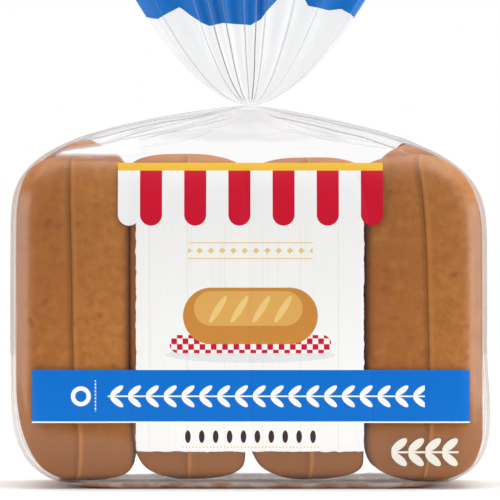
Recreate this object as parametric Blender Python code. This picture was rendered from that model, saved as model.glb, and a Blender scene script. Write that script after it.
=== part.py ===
"""A sealed clear bag of eight top-sliced hot dog buns, standing on its flat bottom.

The bag is one film tube: a flat bottom, a body pressed out by two rows of four buns, shoulders that
run up to a gathered neck, and a fluted tail that fans out above it. It is modelled as one closed solid,
a loft of level sections from the bottom to the end of the tail.

Metres, +Z up, front towards -Y, origin in the middle of the footprint.
"""

import math
import random
from dataclasses import dataclass

import bmesh
import bpy

# The buns inside, which press the film out
BUNS_ACROSS = 4
ROWS_DEEP = 2
BUN_PITCH = 0.0540
BUN_LENGTH = 0.1520
# Where each bun is sliced, as a share of its width off its middle
SLIT_PLACES = (0.0, -0.045, 0.0, -0.055)
SLIT_DEPTH = 0.0009
SLIT_HALF_WIDTH = 0.0013
# How far the film dips between two buns, and how close to the joint it does so
JOINT_DEPTH = 0.0030
JOINT_SHARPNESS = 6

# The filled body
BODY_HALF_WIDTH = 0.1112
BODY_HALF_DEPTH = 0.0542
CORNER_RADIUS = 0.0160
BOTTOM_ROUND_WIDTH = 0.0500
BOTTOM_ROUND_DEPTH = 0.0160
BOTTOM_ROUND_HEIGHT = 0.0500
BOTTOM_ROUND_POWER = 3.1
SLACK_START = 0.0400
SLACK_RISE = 0.0250

# The shoulders, from the buns' upper ends in to the gathered neck
SHOULDER_START = 0.1120
NECK_HEIGHT = 0.1784
NECK_RADIUS = 0.0042
SHOULDER_DEPTH_CURVE = (5.0, 1.20)
RELIEF_FADE = 0.0200
SHOULDER_CREEP = 1.7

# The tail above the neck
TAIL_HEIGHT = 0.0750
TAIL_HALF_WIDTH = 0.0705
TAIL_HALF_DEPTH = 0.0120
TAIL_FLARE_POWER = 0.555
TAIL_CREEP = 1.4

# The flutes that the gathered film makes, no two alike
FLUTES = 20
FLUTES_BEGIN = 0.60
SHOULDER_FLUTE = 0.0022
NECK_FLUTE = 0.0007
TAIL_FLUTE = 0.0028
FLUTE_SPREAD = 0.35
FLUTE_SEED = 8

# How finely each stretch of the loft is cut
POINTS_PER_BUN = 9
POINTS_PER_SIDE_BUN = 7
BOTTOM_LEVELS = 8
BODY_LEVELS = 4
SHOULDER_LEVELS = 12
TAIL_LEVELS = 10

FILM_COLOUR = (0.60, 0.36, 0.17, 1.0)
FILM_ROUGHNESS = 0.22
SHARP_ANGLE = math.radians(40)


@dataclass
class Side:
    """How the film runs up one side: its lower rounding, its slack above that, and its shoulder."""

    bottom_round_height: float
    slack: float
    shoulder_start: float
    shoulder_curve: tuple


LEFT = Side(0.0500, 0.0, SHOULDER_START, (4.0, 0.80))
RIGHT = Side(0.0360, 0.0016, 0.1050, (4.0, 0.93))


@dataclass
class Station:
    """One place round the section, from -1 to 1 each way, and how much joint and slit there is in it."""

    x: float
    y: float
    joint: float = 0.0
    slit: float = 0.0


@dataclass
class Level:
    """One height of the loft: how far the film reaches there, and how deep its relief is."""

    z: float
    left: float
    right: float
    half_depth: float
    joint: float = 0.0
    slit: float = 0.0
    flute: float = 0.0


def clear_scene():
    for obj in list(bpy.data.objects):
        bpy.data.objects.remove(obj)


def crowded(share):
    """A share from 0 to 1 across one bun, with the places drawn towards its two edges."""
    return 0.5 - 0.5 * math.cos(math.pi * share)


def joint_at(share, number, count):
    """How much of the joint's dip there is at a share across one bun of a row. The row's ends have none."""
    outer = (number == 0 and share < 0.5) or (number == count - 1 and share > 0.5)
    return 0.0 if outer else abs(2 * share - 1) ** JOINT_SHARPNESS


def broad_stations():
    """The places along the front, from left to right."""
    lip = SLIT_HALF_WIDTH / BUN_PITCH
    stations = []
    for number in range(BUNS_ACROSS):
        slit = 0.5 + SLIT_PLACES[number]
        shares = [crowded(i / POINTS_PER_BUN) for i in range(POINTS_PER_BUN)]
        cuts = [(share, 0.0) for share in shares if abs(share - slit) > 2 * lip]
        cuts += [(slit - lip, 0.0), (slit, 1.0), (slit + lip, 0.0)]
        for share, cut in sorted(cuts):
            along = 2 * (number + share) / BUNS_ACROSS - 1
            stations.append(Station(along, -1.0, joint_at(share, number, BUNS_ACROSS), cut))
    return stations


def narrow_stations():
    """The places along the right side, from front to back."""
    stations = []
    for number in range(ROWS_DEEP):
        for i in range(POINTS_PER_SIDE_BUN):
            share = crowded(i / POINTS_PER_SIDE_BUN)
            along = 2 * (number + share) / ROWS_DEEP - 1
            stations.append(Station(1.0, along, joint_at(share, number, ROWS_DEEP)))
    return stations


def all_stations():
    """Once round the section, anticlockwise from the front left corner. The back repeats the front."""
    half_turn = broad_stations() + narrow_stations()
    return half_turn + [Station(-s.x, -s.y, s.joint, s.slit) for s in half_turn]


def flute_heights():
    """How high each flute's crest stands. The last is the first again, as the flutes go round."""
    rng = random.Random(FLUTE_SEED)
    heights = [1 + FLUTE_SPREAD * rng.uniform(-1, 1) for _ in range(FLUTES)]
    return heights + heights[:1]


def ripple_at(turn, heights):
    """The film's rise and fall after so many flutes: sharp crests with round valleys between them."""
    crest = int(turn)
    past = turn - crest
    height = heights[crest] * (1 - past) + heights[crest + 1] * past
    return height * (1 - 2 * math.sin(math.pi * past))


def section(stations, heights, level):
    """The points of one level: a rounded rectangle with its joints, slits and flutes."""
    middle, half_width = (level.right - level.left) / 2, (level.right + level.left) / 2
    corner = min(CORNER_RADIUS, half_width, level.half_depth)
    core_x, core_y = half_width - corner, level.half_depth - corner
    points = []
    for index, place in enumerate(stations):
        x, y = place.x * half_width, place.y * level.half_depth
        inner_x = max(-core_x, min(core_x, x))
        inner_y = max(-core_y, min(core_y, y))
        away = math.hypot(x - inner_x, y - inner_y)
        ripple = ripple_at(index / len(stations) * FLUTES, heights)
        reach = corner - level.joint * place.joint - level.slit * place.slit + level.flute * ripple
        stretch = reach / away
        across = middle + inner_x + (x - inner_x) * stretch
        points.append((across, inner_y + (y - inner_y) * stretch, level.z))
    return points


def clamped(share):
    return max(0.0, min(1.0, share))


def rounded_in(z, height):
    """How much the rounded lower edge is drawn in: wholly at the base, and no more from its height up."""
    power = BOTTOM_ROUND_POWER
    return 1 - (1 - (1 - clamped(z / height)) ** power) ** (1 / power)


def drawn_to_neck(full, z, start, curve):
    """What is left of a half width or depth at a height, as the shoulders run in from their start."""
    power, easing = curve
    up = clamped((z - start) / (NECK_HEIGHT - start))
    return max(NECK_RADIUS, full * (1 - up**power) ** easing)


def side_reach(side, z):
    """How far one side of the film is from the middle at a height."""
    slack = side.slack * clamped((z - SLACK_START) / SLACK_RISE)
    full = BODY_HALF_WIDTH - BOTTOM_ROUND_WIDTH * rounded_in(z, side.bottom_round_height) - slack
    return drawn_to_neck(full, z, side.shoulder_start, side.shoulder_curve)


def front_reach(z):
    """How far the front and the back are from the middle at a height."""
    full = BODY_HALF_DEPTH - BOTTOM_ROUND_DEPTH * rounded_in(z, BOTTOM_ROUND_HEIGHT)
    return drawn_to_neck(full, z, SHOULDER_START, SHOULDER_DEPTH_CURVE)


def filled_level(z, joint, slit=0.0, flute=0.0):
    return Level(z, side_reach(LEFT, z), side_reach(RIGHT, z), front_reach(z), joint, slit, flute)


def bottom_levels():
    """From the flat base up the rounded lower edge."""
    heights = [BOTTOM_ROUND_HEIGHT * (i / BOTTOM_LEVELS) ** 2 for i in range(BOTTOM_LEVELS)]
    return [filled_level(z, JOINT_DEPTH, SLIT_DEPTH * clamped(z / RELIEF_FADE)) for z in heights]


def body_levels():
    """The straight stretch, where the film lies on the buns."""
    rise = (SHOULDER_START - BOTTOM_ROUND_HEIGHT) / (BODY_LEVELS - 1)
    heights = [BOTTOM_ROUND_HEIGHT + rise * i for i in range(BODY_LEVELS)]
    return [filled_level(z, JOINT_DEPTH, SLIT_DEPTH) for z in heights]


def shoulder_levels():
    """From the buns' upper ends in to the neck, where the flutes begin."""
    levels = []
    for i in range(1, SHOULDER_LEVELS + 1):
        up = 1 - (1 - i / SHOULDER_LEVELS) ** SHOULDER_CREEP
        z = SHOULDER_START + (NECK_HEIGHT - SHOULDER_START) * up
        relief = clamped((BUN_LENGTH - z) / RELIEF_FADE)
        gathered = clamped((up - FLUTES_BEGIN) / (1 - FLUTES_BEGIN))
        room = min(1.0, front_reach(z) / CORNER_RADIUS)
        flute = NECK_FLUTE * gathered + (SHOULDER_FLUTE - NECK_FLUTE) * gathered * room
        levels.append(filled_level(z, JOINT_DEPTH * relief, SLIT_DEPTH * relief, flute))
    return levels


def tail_levels():
    """The gathered film above the neck, fanning out in flutes."""
    levels = []
    for i in range(1, TAIL_LEVELS + 1):
        up = (i / TAIL_LEVELS) ** TAIL_CREEP
        half_width = max(NECK_RADIUS, TAIL_HALF_WIDTH * up**TAIL_FLARE_POWER)
        half_depth = NECK_RADIUS + (TAIL_HALF_DEPTH - NECK_RADIUS) * up
        flute = NECK_FLUTE + (TAIL_FLUTE - NECK_FLUTE) * up
        z = NECK_HEIGHT + TAIL_HEIGHT * up
        levels.append(Level(z, half_width, half_width, half_depth, flute=flute))
    return levels


def film_material():
    material = bpy.data.materials.new("filled_film")
    material.use_nodes = True
    shader = material.node_tree.nodes["Principled BSDF"]
    shader.inputs["Base Color"].default_value = FILM_COLOUR
    shader.inputs["Roughness"].default_value = FILM_ROUGHNESS
    shader.inputs["Metallic"].default_value = 0.0
    return material


def loft(name, sections, material, collection):
    """One closed body through all the sections, shut at its two ends."""
    shape = bmesh.new()
    rings = [[shape.verts.new(point) for point in points] for points in sections]
    for lower, upper in zip(rings, rings[1:]):
        for i in range(len(lower)):
            after = (i + 1) % len(lower)
            shape.faces.new((lower[i], lower[after], upper[after], upper[i]))
    shape.faces.new(list(reversed(rings[0])))
    shape.faces.new(rings[-1])
    bmesh.ops.triangulate(shape, faces=shape.faces[:])
    mesh = bpy.data.meshes.new(name)
    shape.to_mesh(mesh)
    shape.free()
    mesh.materials.append(material)
    mesh.shade_smooth()
    mesh.set_sharp_from_angle(angle=SHARP_ANGLE)
    obj = bpy.data.objects.new(name, mesh)
    collection.objects.link(obj)
    return obj


def main():
    clear_scene()
    collection = bpy.data.collections.new("bag_of_hot_dog_buns")
    bpy.context.scene.collection.children.link(collection)
    stations, heights = all_stations(), flute_heights()
    levels = bottom_levels() + body_levels() + shoulder_levels() + tail_levels()
    loft("bag", [section(stations, heights, level) for level in levels], film_material(), collection)


main()
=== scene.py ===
# %% [markdown]
# # A clear bag of hot dog buns
#
# The object is a sealed bag of clear film with two rows of four top-sliced buns inside. It stands on its
# flat bottom. The film is pressed out by the buns, runs in over its shoulders to a gathered neck, and
# fans out above it in a fluted tail.
#
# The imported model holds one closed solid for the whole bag. This lesson replaces it with what the eye
# sees: a film tube with its print, and eight buns behind it. We start by loading that solid, because
# every size below is measured from it.

import math

import bmesh
import bpy
import numpy as np
from mathutils import Matrix, Vector, noise


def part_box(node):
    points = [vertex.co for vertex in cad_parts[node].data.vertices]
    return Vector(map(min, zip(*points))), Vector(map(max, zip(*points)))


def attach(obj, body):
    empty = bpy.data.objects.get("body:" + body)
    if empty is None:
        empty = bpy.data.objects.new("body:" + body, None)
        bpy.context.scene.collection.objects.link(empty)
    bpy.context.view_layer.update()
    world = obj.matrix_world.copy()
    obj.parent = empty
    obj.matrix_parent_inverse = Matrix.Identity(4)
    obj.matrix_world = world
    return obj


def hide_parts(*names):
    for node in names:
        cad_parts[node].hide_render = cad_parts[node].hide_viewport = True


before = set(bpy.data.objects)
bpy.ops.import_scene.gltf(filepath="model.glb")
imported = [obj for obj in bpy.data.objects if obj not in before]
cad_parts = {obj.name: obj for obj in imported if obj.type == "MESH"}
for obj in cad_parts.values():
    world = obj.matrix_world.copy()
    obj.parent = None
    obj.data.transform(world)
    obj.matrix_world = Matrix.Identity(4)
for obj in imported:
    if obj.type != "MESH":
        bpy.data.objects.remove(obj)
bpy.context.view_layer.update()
bag_low, bag_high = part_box("bag")
print("the bag's solid runs from", tuple(bag_low), "to", tuple(bag_high))

# %% [markdown]
# ## Sizes
#
# The bag's outer sizes come from the solid. The rest are the real sizes of such a bag: how high its
# neck is, how wide the gathered neck is, and how many buns stand in it. Everything is in metres.

# %% Sizes
MM = 0.001
HALF_WIDTH = bag_high.x
HALF_DEPTH = bag_high.y
TOP = bag_high.z
NECK_HEIGHT = 0.1784
NECK_RADIUS = 0.0042
CORNER_RADIUS = 0.0160
BUNS_ACROSS = 4
ROWS_DEEP = 2
BUN_TOP = 0.1536
print(f"the tail is {(TOP - NECK_HEIGHT) / MM:.0f} mm long above the neck")

# %% [markdown]
# ## Two helpers for node trees
#
# Materials and Geometry Nodes are both trees of nodes. Wiring a formula by hand takes one Math node for
# each sign in it. A small class that wraps a socket and overloads Python's operators lets us write the
# formula as a formula instead. The other class stands for the tree, and its one method adds any other
# node: it takes the node's type, its settings, and the values or links of its sockets.


# %% Wires and benches
class Wire:
    """One output of a node tree. Python's operators on it add Math nodes."""

    def __init__(self, bench, socket):
        self.bench = bench
        self.socket = socket

    def math(self, operation, *others):
        return self.bench.math(operation, self, *others)

    def __add__(self, other):
        return self.math("ADD", other)

    def __radd__(self, other):
        return self.math("ADD", other)

    def __sub__(self, other):
        return self.math("SUBTRACT", other)

    def __rsub__(self, other):
        return self.bench.math("SUBTRACT", other, self)

    def __mul__(self, other):
        return self.math("MULTIPLY", other)

    def __rmul__(self, other):
        return self.math("MULTIPLY", other)

    def __truediv__(self, other):
        return self.math("DIVIDE", other)

    def __rtruediv__(self, other):
        return self.bench.math("DIVIDE", other, self)

    def __pow__(self, other):
        return self.math("POWER", other)

    def __mod__(self, other):
        return self.math("FLOORED_MODULO", other)

    def __lt__(self, other):
        return self.math("LESS_THAN", other)

    def __gt__(self, other):
        return self.math("GREATER_THAN", other)

    def __abs__(self):
        return self.math("ABSOLUTE")

    def least(self, other):
        return self.math("MINIMUM", other)

    def most(self, other):
        return self.math("MAXIMUM", other)


class Bench:
    """A node tree to work on."""

    def __init__(self, tree):
        self.tree = tree

    def node(self, kind, settings=None, sockets=None, output=0):
        """Adds a node, sets it up, fills or links its sockets, and gives back one of its outputs."""
        node = self.tree.nodes.new(kind)
        for name, value in (settings or {}).items():
            setattr(node, name, value)
        for key, value in (sockets or {}).items():
            if isinstance(value, Wire):
                self.tree.links.new(value.socket, node.inputs[key])
            else:
                node.inputs[key].default_value = value
        return Wire(self, node.outputs[output]) if node.outputs else None

    def math(self, operation, *values):
        return self.node("ShaderNodeMath", {"operation": operation}, dict(enumerate(values)))

    def ramp(self, value, low, high):
        """0 below low, 1 above high, and a soft step between them. It falls instead where low is above."""
        settings = {"interpolation_type": "SMOOTHSTEP"}
        return self.node("ShaderNodeMapRange", settings, {0: value, 1: low, 2: high})

    def parts(self, vector):
        """The x, y and z of a vector."""
        split = self.node("ShaderNodeSeparateXYZ", sockets={0: vector})
        return [Wire(self, output) for output in split.socket.node.outputs]


print("the helpers are ready")

# %% [markdown]
# ## The film's shape
#
# Bread film is one seamless tube, about 0.03 mm thick, folded shut at the bottom and gathered at the
# neck. It could be blown up as simulated cloth, but its form follows a simple rule: every level section
# is a rounded rectangle that shrinks towards the neck and opens again above it. So we loft it: a list of
# levels from the bottom to the end of the tail, and a list of stations round each level.
#
# First the stations. They lie on the outline of a square from -1 to 1, and crowd together at the joints
# between two buns, where the film dips.

# %% Stations round the film
PER_BUN = 42
PER_SIDE_BUN = 34
JOINT_SHARPNESS = 6


def bun_shares(number, count, points):
    """Places across one bun of a row, from -1 to 1 over the whole row, and the dip that each has."""
    shares = 0.5 - 0.5 * np.cos(np.pi * np.arange(points) / points)
    along = 2 * (number + shares) / count - 1
    dip = np.abs(2 * shares - 1) ** JOINT_SHARPNESS
    if number == 0:
        dip = np.where(shares < 0.5, 0.0, dip)
    if number == count - 1:
        dip = np.where(shares > 0.5, 0.0, dip)
    return along, dip


def row_stations(count, points):
    rows = [bun_shares(number, count, points) for number in range(count)]
    return np.concatenate([r[0] for r in rows]), np.concatenate([r[1] for r in rows])


broad, broad_dip = row_stations(BUNS_ACROSS, PER_BUN)
narrow, narrow_dip = row_stations(ROWS_DEEP, PER_SIDE_BUN)
station_x = np.concatenate([broad, np.ones(len(narrow)), -broad, -np.ones(len(narrow))])
station_y = np.concatenate([-np.ones(len(broad)), narrow, np.ones(len(broad)), -narrow])
station_dip = np.concatenate([broad_dip, narrow_dip, broad_dip, narrow_dip])
STATIONS = len(station_x)
print(STATIONS, "stations round the film")

# %% [markdown]
# Gathered film doesn't wave evenly. Above the neck it folds along a few sharp pleats that fan out, with
# rounder film between them. Each pleat is a place across the tail and how clearly it shows there. The
# back has fainter pleats of its own, drawn with a fixed seed.

# %% Pleats of the tail
FRONT_PLEATS = (
    (-0.81, 0.50),
    (-0.485, 0.65),
    (-0.36, 0.95),
    (-0.23, 0.85),
    (-0.05, 0.65),
    (0.06, 1.00),
    (0.14, 0.60),
    (0.38, 0.50),
    (0.59, 0.30),
    (0.90, 0.35),
)
BACK_PLEATS = 6
PLEAT_SEED = 21


def nearest_station(x, y):
    return int(np.argmin(np.hypot(station_x - x, station_y - y)))


def all_pleats():
    """(station, how clearly it shows, crest height) for every pleat, in order round the film."""
    draw = np.random.default_rng(PLEAT_SEED)
    shows = {nearest_station(x, -1): clear for x, clear in FRONT_PLEATS}
    for x in np.linspace(0.9, -0.9, BACK_PLEATS) + draw.uniform(-0.05, 0.05, BACK_PLEATS):
        shows[nearest_station(x, 1)] = draw.uniform(0.05, 0.2)
    stations = sorted(shows)
    heights = 1 + 0.35 * draw.uniform(-1, 1, len(stations))
    return [(station, shows[station], height) for station, height in zip(stations, heights)]


pleats = all_pleats()
pleat_station = np.array([pleat[0] for pleat in pleats])
pleat_shows = np.array([pleat[1] for pleat in pleats])
pleat_height = np.array([pleat[2] for pleat in pleats])
print(len(pleats), "pleats run out of the neck")

# %% [markdown]
# Now the levels. Each says how high it is, how far the film reaches to the left, to the right and in
# depth, how deep the joints between the buns are, and how strongly it ripples. The curves are those of
# the solid, with many more levels. The left shoulder stands higher than the right one, and the lower
# right corner is the fuller one, as the buns happened to settle.

# %% Levels up the film
BOTTOM_ROUND_WIDTH = 0.0500
BOTTOM_ROUND_DEPTH = 0.0160
BOTTOM_ROUND_HEIGHT = 0.0500
BOTTOM_ROUND_POWER = 3.1
SLACK_START = 0.0400
SLACK_RISE = 0.0250
LEFT = dict(round_height=0.0500, slack=0.0, start=0.1120, curve=(4.0, 0.80))
RIGHT = dict(round_height=0.0360, slack=0.0016, start=0.1050, curve=(4.0, 0.93))
DEPTH_START = 0.1120
DEPTH_CURVE = (5.0, 1.20)
JOINT_DEPTH = 0.0012
TAIL_HALF_WIDTH = 0.0705
TAIL_HALF_DEPTH = 0.0120
TAIL_FLARE_POWER = 0.555
SHOULDER_RIPPLE = 0.0008
NECK_RIPPLE = 0.0007
TAIL_RIPPLE = 0.0018
UNDERSIDE_LEVELS = 6
BOTTOM_LEVELS = 30
BODY_LEVELS = 24
SHOULDER_LEVELS = 70
TAIL_LEVELS = 66


def share_of(value, low, high):
    """How far a number, or each of many, has come from low to high: 0 before that and 1 past it."""
    return np.clip((value - low) / (high - low), 0.0, 1.0)


def soft_step(value, low, high):
    share = share_of(value, low, high)
    return share * share * (3 - 2 * share)


def rounded_in(z, height):
    """How much the rounded lower edge is drawn in: wholly at the base, and no more from its height up."""
    power = BOTTOM_ROUND_POWER
    return 1 - (1 - (1 - share_of(z, 0, height)) ** power) ** (1 / power)


def drawn_to_neck(full, z, start, curve):
    """What is left of a half width or depth at a height, as the shoulders run in from their start."""
    power, easing = curve
    return max(NECK_RADIUS, full * (1 - share_of(z, start, NECK_HEIGHT) ** power) ** easing)


def side_reach(side, z):
    slack = side["slack"] * share_of(z, SLACK_START, SLACK_START + SLACK_RISE)
    full = HALF_WIDTH - BOTTOM_ROUND_WIDTH * rounded_in(z, side["round_height"]) - slack
    return drawn_to_neck(full, z, side["start"], side["curve"])


def front_reach(z):
    full = HALF_DEPTH - BOTTOM_ROUND_DEPTH * rounded_in(z, BOTTOM_ROUND_HEIGHT)
    return drawn_to_neck(full, z, DEPTH_START, DEPTH_CURVE)


def filled_level(z, joint=JOINT_DEPTH, ripple=0.0):
    return dict(
        z=z, left=side_reach(LEFT, z), right=side_reach(RIGHT, z), depth=front_reach(z),
        joint=joint, ripple=ripple, thin=0.0, shows=0.0,
    )


def underside_levels():
    """The folded bottom, from its seam out to the edge of the flat face, a hair above what it stands on."""
    edge = filled_level(0.0)
    shares = np.linspace(0, 1, UNDERSIDE_LEVELS, endpoint=False)
    return [
        dict(edge, z=0.0006 * (1 - s), depth=edge["depth"] * s, joint=JOINT_DEPTH * s) for s in shares
    ]


def body_levels():
    low = BOTTOM_ROUND_HEIGHT * np.linspace(0, 1, BOTTOM_LEVELS, endpoint=False) ** 2
    high = np.linspace(BOTTOM_ROUND_HEIGHT, RIGHT["start"], BODY_LEVELS, endpoint=False)
    return [filled_level(z) for z in np.concatenate([low, high])]


def shoulder_levels():
    levels = []
    for i in range(SHOULDER_LEVELS):
        up = 1 - (1 - i / SHOULDER_LEVELS) ** 1.6
        z = RIGHT["start"] + (NECK_HEIGHT - RIGHT["start"]) * up
        joint = JOINT_DEPTH * soft_step(BUN_TOP - z, 0, 0.02)
        gathered = soft_step(up, 0.80, 1.0)
        room = min(1.0, front_reach(z) / CORNER_RADIUS)
        ripple = (NECK_RIPPLE + (SHOULDER_RIPPLE - NECK_RIPPLE) * room) * gathered
        levels.append(filled_level(z, joint, ripple))
    return levels


def tail_levels():
    levels = []
    for i in range(TAIL_LEVELS + 1):
        up = (i / TAIL_LEVELS) ** 1.4
        reach = max(NECK_RADIUS, TAIL_HALF_WIDTH * up**TAIL_FLARE_POWER)
        levels.append(dict(
            z=NECK_HEIGHT + (TOP - NECK_HEIGHT) * up, left=reach, right=reach,
            depth=NECK_RADIUS + (TAIL_HALF_DEPTH - NECK_RADIUS) * up, joint=0.0,
            ripple=NECK_RIPPLE + (TAIL_RIPPLE - NECK_RIPPLE) * soft_step(up, 0, 0.6),
            thin=soft_step(up, 0, 0.12), shows=soft_step(reach, 0.005, 0.014),
        ))
    return levels


levels = underside_levels() + body_levels() + shoulder_levels() + tail_levels()
print(len(levels), "levels up the film")

# %% [markdown]
# A level's points are the rounded rectangle, pulled in at the joints and rippled between the pleats. On
# the tail the front and the back layer also come together towards the two edges, like the two sides of
# a lens. Alongside each point we keep how far it is from the nearest pleat, and how clearly that pleat
# shows, because the film's material paints the thin grey lines of the folds, as painted shade, from such
# numbers.

# %% Points of one level
LENS_EDGE = 0.06


def around(points):
    """How far round the section each point is, and the whole way round."""
    steps = np.hypot(*(np.roll(points, -1, axis=0) - points).T)
    return np.concatenate([[0.0], np.cumsum(steps)[:-1]]), steps.sum()


def rounded_section(size):
    """The plain rounded rectangle of a level: its inner points, and which way is out at each."""
    half_width = (size["right"] + size["left"]) / 2
    corner = min(CORNER_RADIUS, half_width, max(size["depth"], 1e-5))
    x, y = station_x * half_width, station_y * size["depth"]
    core_x, core_y = half_width - corner, max(size["depth"] - corner, 0.0)
    inner = np.stack([np.clip(x, -core_x, core_x), np.clip(y, -core_y, core_y)], axis=1)
    away = np.stack([x, y], axis=1) - inner
    length = np.maximum(np.hypot(*away.T), 1e-9)[:, None]
    return inner, away / length, corner


def ripples(places, whole):
    """The rise and fall between pleats, the distance to the nearest one, and which one that is."""
    crest = places[pleat_station]
    after = np.append(crest[1:], crest[0] + whole)
    index = np.searchsorted(pleat_station, np.arange(STATIONS), side="right") - 1
    before_first = index < 0
    index = np.where(before_first, len(pleats) - 1, index)
    start, end = crest[index], np.maximum(after[index], crest[index] + 1e-7)
    here = np.where(before_first, places + whole, places)
    share = (here - start) / (end - start)
    following = (index + 1) % len(pleats)
    height = pleat_height[index] * (1 - share) + pleat_height[following] * share
    room = np.minimum(1.0, (end - start) * len(pleats) / whole)
    ripple = height * (1 - 2 * np.sin(np.pi * share)) * room
    nearest = np.where(share < 0.5, index, following)
    return ripple, np.minimum(here - start, end - here), nearest


def lens(x, half_width):
    """How far apart the tail's layers are at a place across it, as a share of the middle."""
    return LENS_EDGE + (1 - LENS_EDGE) * (1 - np.minimum(1.0, np.abs(x / half_width)) ** 2.4) ** 0.7


def film_level(size):
    inner, out, corner = rounded_section(size)
    places, whole = around(inner + out * corner)
    ripple, from_pleat, nearest = ripples(places, whole)
    reach = corner - size["joint"] * station_dip + size["ripple"] * ripple
    points = inner + out * reach[:, None]
    half_width = (size["right"] + size["left"]) / 2
    points[:, 1] *= 1 - size["thin"] * (1 - lens(points[:, 0], half_width))
    points[:, 0] += (size["right"] - size["left"]) / 2
    heights = np.full((STATIONS, 1), size["z"])
    return np.hstack([points, heights]), from_pleat / MM, pleat_shows[nearest] * size["shows"]


made = [film_level(size) for size in levels]
film_points = np.stack([m[0] for m in made])
from_pleat = np.stack([m[1] for m in made])
pleat_here = np.stack([m[2] for m in made])
print("the film has", film_points.shape[0] * film_points.shape[1], "points")

# %% [markdown]
# Below the neck the gathered film is pulled tight over the outer buns, and folds along long, nearly
# level lines that run from the neck out to the corners. We write each fold as a line of points on the
# front, in millimetres across and up, with how clearly it shows. Every point of the film then learns how
# far above each fold it is. The film stands up in a small ridge along the fold, and the same number lets
# the material paint it as a crisp line of grey painted shade. The back gets the same folds, turned round.

# %% Folds of the shoulders
SHOULDER_FOLDS = (
    (0.75, ((-88.3, 158.5), (-79.0, 162.2), (-65.1, 165.9), (-46.6, 169.8), (-21.1, 173.5), (-2.0, 177.8))),
    (0.95, ((-92.0, 156.4), (-83.6, 159.2), (-67.9, 162.3), (-51.2, 166.8), (-28.0, 171.2),
            (-10.0, 175.4))),
    (0.60, ((-95.0, 154.2), (-84.3, 156.9), (-60.5, 160.8), (-38.5, 165.2), (-25.7, 168.4), (-5.0, 175.6))),
    (0.40, ((-50.0, 161.9), (-38.7, 164.3), (-23.9, 165.9), (-12.7, 167.7), (-3.0, 172.5))),
    (0.65, ((2.0, 177.8), (22.9, 172.6), (41.5, 169.6), (60.0, 165.0), (70.7, 160.8), (79.0, 157.2))),
    (0.95, ((10.0, 175.2), (29.4, 171.0), (51.5, 165.9), (60.0, 163.6), (70.7, 159.9), (80.0, 155.9))),
    (0.95, ((4.0, 176.9), (10.9, 171.9), (33.1, 166.8), (51.7, 162.3), (68.3, 156.4), (76.0, 153.4))),
    (0.45, ((12.0, 170.4), (22.9, 164.7), (33.1, 161.7), (55.4, 158.3), (68.0, 156.8))),
)
FOLD_FADE = 9.0
BACK_FOLDS_SHOW = 0.35
RIDGE_HEIGHT = 0.0007
RIDGE_REACH = 2.2


def from_fold(x, z, line):
    """How far above a fold each point is, in millimetres, and how clearly the fold shows there."""
    places, heights = zip(*line)
    slope = (heights[-1] - heights[0]) / (places[-1] - places[0])
    above = (z - np.interp(x, places, heights)) / math.hypot(1.0, slope)
    begun = soft_step(x, places[0], places[0] + FOLD_FADE)
    ended = soft_step(x, places[-1], places[-1] - FOLD_FADE)
    return above, begun * ended


front = film_points[:, :, 1] < 0
clear_side = np.where(front, 1.0, BACK_FOLDS_SHOW)
across = np.where(front, film_points[:, :, 0], -film_points[:, :, 0]) / MM
height = film_points[:, :, 2] / MM
fold_numbers = {}
ridge = np.zeros(front.shape)
for number, (clear, line) in enumerate(SHOULDER_FOLDS, 1):
    above, shows = from_fold(across, height, line)
    seen = shows * clear * clear_side
    fold_numbers[f"fold_{number}"] = np.stack([above, seen, np.zeros(front.shape)], axis=-1)
    ridge = np.maximum(ridge, shows * clear * np.exp(-np.abs(above) / RIDGE_REACH))
film_points[:, :, 1] += np.where(front, -1, 1) * ridge * RIDGE_HEIGHT
film_points[:, :, 2] += ridge * RIDGE_HEIGHT
print(len(fold_numbers), "folds on each side of the shoulders")

# %% [markdown]
# Under the third fold on the left the film shows one white facet: a painted reflection of the light
# overhead, which hides what is behind it. The facet reaches from the fold down to the top of the first
# bun.

# %% The painted glare
GLARE_FOLD = 2
GLARE_BOTTOM = 153.4

above, shows = from_fold(across, height, SHOULDER_FOLDS[GLARE_FOLD][1])
# A painted white glare, standing in for the light overhead mirrored by the shoulder's film.
painted_glare = soft_step(above, -0.2, -1.3) * soft_step(height, GLARE_BOTTOM, GLARE_BOTTOM + 1.6)
painted_glare = painted_glare * np.where(front, 1.0, 0.0)
painted_glare = painted_glare * soft_step(across, -94.0, -86.0) * soft_step(across, -47.0, -55.0)
print("the facet covers", int((painted_glare > 0.5).sum()), "points")

# %% [markdown]
# Film is never perfectly smooth. It is creased a little all over from being handled, and slack where
# nothing presses on it. We push each point along by a smooth noise of two sizes. The push is smallest
# where the film is stretched over the buns and fades out on the flat face that it stands on. The seed
# gives the same creases on every run.

# %% Slack and handling marks
SLACK = 0.0006
HANDLING = 0.00018
CREASE_SEED = 7
noise.seed_set(CREASE_SEED)


def crinkle(point):
    """A small push in all three directions."""
    slack = noise.noise_vector(Vector(point) * 22) * SLACK
    return slack + noise.noise_vector(Vector(point) * 95) * HANDLING


def loose_at(z):
    """How free the film is to move at a height: least on the flat bottom and on the buns."""
    return 0.35 * soft_step(z, 0.001, 0.02) + 0.65 * soft_step(z, 0.14, 0.165)


for row, size in enumerate(levels):
    loose = loose_at(size["z"])
    if loose > 0:
        film_points[row] += [np.array(crinkle(point)) * loose for point in film_points[row]]
print("the film is crinkled")
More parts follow.
